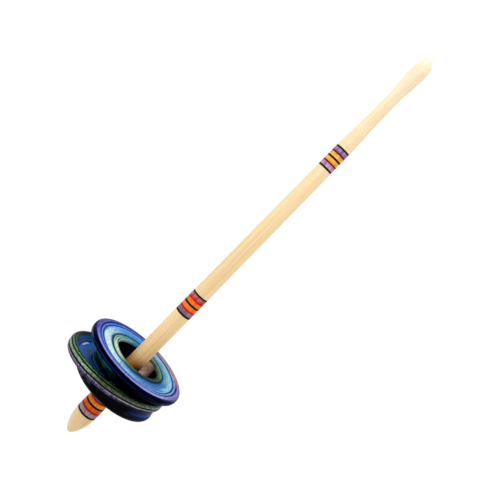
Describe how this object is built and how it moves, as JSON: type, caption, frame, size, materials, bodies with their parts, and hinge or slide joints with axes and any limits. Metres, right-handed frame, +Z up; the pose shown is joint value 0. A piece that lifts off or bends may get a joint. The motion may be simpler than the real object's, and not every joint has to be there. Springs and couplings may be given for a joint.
{
  "type": "drop spindle",
  "caption": "Bottom-whorl drop spindle: a slender maple shaft with three dyed veneer bands, and a blue laminated whorl of three flanges, the middle one leaning.",
  "frame": {"origin": "centre of the bounding box, on the table that the spindle lies on", "axes": "+Z up, +X along the spindle from its foot and whorl to its thin end; the shaft leans 6.9 degrees down towards +X, because it lies on the whorl's rim and on the bulb at its thin end"},
  "size_m": [0.2678, 0.0626, 0.0602],
  "materials": {
    "maple": "satin oil",
    "black_veneer": "satin lacquer",
    "dark_red_veneer": "satin lacquer",
    "orange_veneer": "satin lacquer",
    "amber_veneer": "satin lacquer",
    "grey_lilac_veneer": "satin lacquer",
    "rose_veneer": "satin lacquer",
    "purple_veneer": "satin lacquer",
    "blue_laminate": "gloss lacquer",
    "blue_green_laminate": "gloss lacquer",
    "navy_laminate": "gloss lacquer"
  },
  "bodies": {
    "root": {"foot": "maple", "lower_shaft": "maple", "middle_shaft": "maple", "upper_shaft": "maple", "band_1_lower_black": "black_veneer", "band_1_lower_outer": "grey_lilac_veneer", "band_1_lower_red": "dark_red_veneer", "band_1_lower_orange": "orange_veneer", "band_1_centre_black": "black_veneer", "band_1_upper_orange": "amber_veneer", "band_1_upper_red": "dark_red_veneer", "band_1_upper_outer": "rose_veneer", "band_1_upper_black": "black_veneer", "band_2_lower_black": "black_veneer", "band_2_lower_outer": "grey_lilac_veneer", "band_2_lower_red": "dark_red_veneer", "band_2_lower_orange": "orange_veneer", "band_2_centre_black": "black_veneer", "band_2_upper_orange": "orange_veneer", "band_2_upper_red": "dark_red_veneer", "band_2_upper_outer": "rose_veneer", "band_2_upper_black": "black_veneer", "band_3_lower_black": "black_veneer", "band_3_lower_outer": "purple_veneer", "band_3_lower_red": "dark_red_veneer", "band_3_lower_orange": "amber_veneer", "band_3_centre_black": "black_veneer", "band_3_upper_orange": "orange_veneer", "band_3_upper_red": "dark_red_veneer", "band_3_upper_outer": "purple_veneer", "band_3_upper_black": "black_veneer", "whorl_top_flange": "blue_laminate", "whorl_middle_flange": "blue_green_laminate", "whorl_base_flange": "navy_laminate"}
  },
  "joints": []
}
